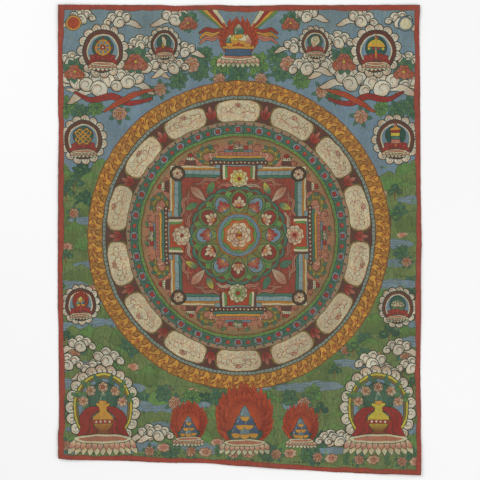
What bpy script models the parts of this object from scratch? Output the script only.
"""Unmounted thangka: one sheet of painted cotton, lying face up on a flat surface.

The sheet has no brocade mount, rods or cords, so it is one piece. Its corners are not square: the
bottom edge runs down to the right, and all four edges were trimmed by hand. The middle lies flat,
and the corners and parts of the edges stand a few millimetres off the surface.
+X is the viewer's right, +Y is the top of the painting and +Z is the painted face.
"""

import math

import bmesh
import bpy

MM = 0.001

NODE = "painted_cloth"
THICKNESS = 1.5 * MM
CELLS_ACROSS = 31
CELLS_DOWN = 39

# Corners in millimetres from the middle of the sheet: (across, up).
CORNERS = {
    "top_left": (-235.8, 305.6),
    "top_right": (234.4, 305.4),
    "bottom_right": (235.6, -305.6),
    "bottom_left": (-235.6, -284.1),
}

# How far the trimmed edge strays from the straight line between its two corners.
# Columns: distance from the edge's first corner, outward stray, both in millimetres.
EDGES = {
    # Left and right edges run down from the top corners.
    "left": (
        (46, 0.2),
        (139, 0.3),
        (155, -0.7),
        (233, 0.1),
        (342, 0.7),
        (389, 0.7),
        (420, -0.3),
        (545, -0.9),
        (560, 0.5),
    ),
    "right": (
        (30, -1.1),
        (92, 0.0),
        (202, 0.3),
        (311, 1.4),
        (342, 0.5),
        (389, 0.6),
        (482, -0.4),
        (529, 0.5),
        (560, -0.1),
        (576, 0.6),
    ),
    # Top and bottom edges run right from the left corners.
    "top": (
        (130, 0.0),
        (156, -1.3),
        (182, -0.6),
        (208, -0.2),
        (234, -1.0),
        (260, -0.9),
        (299, 0.1),
        (338, -0.2),
        (390, 0.1),
    ),
    "bottom": (
        (12, 0.9),
        (51, 0.2),
        (90, -0.9),
        (129, -0.6),
        (194, -2.6),
        (233, -1.1),
        (311, 0.4),
        (363, 1.4),
        (415, 1.2),
        (441, 0.4),
    ),
}

# Where the cloth stands off the surface.
# Columns: place across and up, reach, height, all in millimetres.
LIFTS = (
    (-236, 306, 95, 2.6),  # top left corner
    (235, 305, 80, 1.8),  # top right corner
    (236, -306, 90, 3.2),  # bottom right corner
    (-236, -284, 70, 2.2),  # bottom left corner
    (-240, 70, 110, 1.2),  # left edge
    (240, -50, 120, 1.5),  # right edge
    (30, -304, 95, 1.3),  # bottom edge
    (-60, 312, 80, 0.9),  # top edge
)


def stray(rows, length, distance):
    """Outward stray at a distance along an edge, eased between the table's rows."""
    knots = [(0.0, 0.0), *rows, (length, 0.0)]
    for (start, low), (end, high) in zip(knots, knots[1:]):
        if distance <= end:
            share = (distance - start) / (end - start)
            ease = 0.5 - 0.5 * math.cos(math.pi * share)
            return low + (high - low) * ease
    return 0.0


def edge_point(name, share, first, last, outward):
    """Point on a trimmed edge, at a share of the way from its first corner to its last."""
    (x0, y0), (x1, y1) = CORNERS[first], CORNERS[last]
    length = math.hypot(x1 - x0, y1 - y0)
    away = stray(EDGES[name], length, share * length)
    x = x0 + (x1 - x0) * share + outward[0] * away
    y = y0 + (y1 - y0) * share + outward[1] * away
    return x, y


def sheet_point(across, down):
    """Point of the sheet in millimetres, from its shares across and down, fitted to all four edges."""
    left = edge_point("left", down, "top_left", "bottom_left", (-1, 0))
    right = edge_point("right", down, "top_right", "bottom_right", (1, 0))
    top = edge_point("top", across, "top_left", "top_right", (0, 1))
    bottom = edge_point("bottom", across, "bottom_left", "bottom_right", (0, -1))
    weights = {
        "top_left": (1 - across) * (1 - down),
        "top_right": across * (1 - down),
        "bottom_right": across * down,
        "bottom_left": (1 - across) * down,
    }
    point = []
    for axis in (0, 1):
        ruled_across = left[axis] * (1 - across) + right[axis] * across
        ruled_down = top[axis] * (1 - down) + bottom[axis] * down
        corners = sum(weights[name] * CORNERS[name][axis] for name in CORNERS)
        point.append(ruled_across + ruled_down - corners)
    return point


def lift(x, y):
    """Height of the underside above the surface, in millimetres, which is 0 in the middle."""
    height = 0.0
    for across, up, reach, top in LIFTS:
        near = 1.0 - ((x - across) ** 2 + (y - up) ** 2) / reach**2
        if near > 0.0:
            height += top * near**2
    return height


def build_sheet():
    """The closed sheet, with its box's centre over the origin and its flat underside at z = 0."""
    grid = [
        [sheet_point(i / CELLS_ACROSS, j / CELLS_DOWN) for i in range(CELLS_ACROSS + 1)]
        for j in range(CELLS_DOWN + 1)
    ]
    points = [point for row in grid for point in row]
    middle = [(min(p[a] for p in points) + max(p[a] for p in points)) / 2 for a in (0, 1)]

    body = bmesh.new()
    layers = []
    for base in (THICKNESS, 0.0):
        layers.append(
            [
                [
                    body.verts.new(
                        ((x - middle[0]) * MM, (y - middle[1]) * MM, base + lift(x, y) * MM)
                    )
                    for x, y in row
                ]
                for row in grid
            ]
        )
    for verts in layers:
        for j in range(CELLS_DOWN):
            for i in range(CELLS_ACROSS):
                body.faces.new((verts[j][i], verts[j + 1][i], verts[j + 1][i + 1], verts[j][i + 1]))

    top, underside = (rim(verts) for verts in layers)
    for k in range(len(top)):
        after = (k + 1) % len(top)
        body.faces.new((top[k], underside[k], underside[after], top[after]))
    bmesh.ops.recalc_face_normals(body, faces=body.faces)

    mesh = bpy.data.meshes.new(NODE)
    body.to_mesh(mesh)
    body.free()
    mesh.shade_smooth()
    mesh.set_sharp_from_angle(angle=math.radians(40))
    return mesh


def rim(verts):
    """The grid's outer vertices, once round."""
    top_row = verts[0]
    right_column = [row[-1] for row in verts[1:]]
    bottom_row = verts[-1][-2::-1]
    left_column = [row[0] for row in verts[-2:0:-1]]
    return [*top_row, *right_column, *bottom_row, *left_column]


def painted_cotton():
    """Matt distemper on primed cotton: the painting's colours seen from far off, mixed to one."""
    material = bpy.data.materials.new("painted_cotton")
    material.use_nodes = True
    shader = material.node_tree.nodes["Principled BSDF"]
    shader.inputs["Base Color"].default_value = (0.19, 0.17, 0.11, 1.0)
    shader.inputs["Roughness"].default_value = 0.85
    shader.inputs["Metallic"].default_value = 0.0
    return material


def main():
    for old in list(bpy.data.objects):
        bpy.data.objects.remove(old, do_unlink=True)
    mesh = build_sheet()
    mesh.materials.append(painted_cotton())
    sheet = bpy.data.objects.new(NODE, mesh)
    bpy.context.scene.collection.objects.link(sheet)


main()
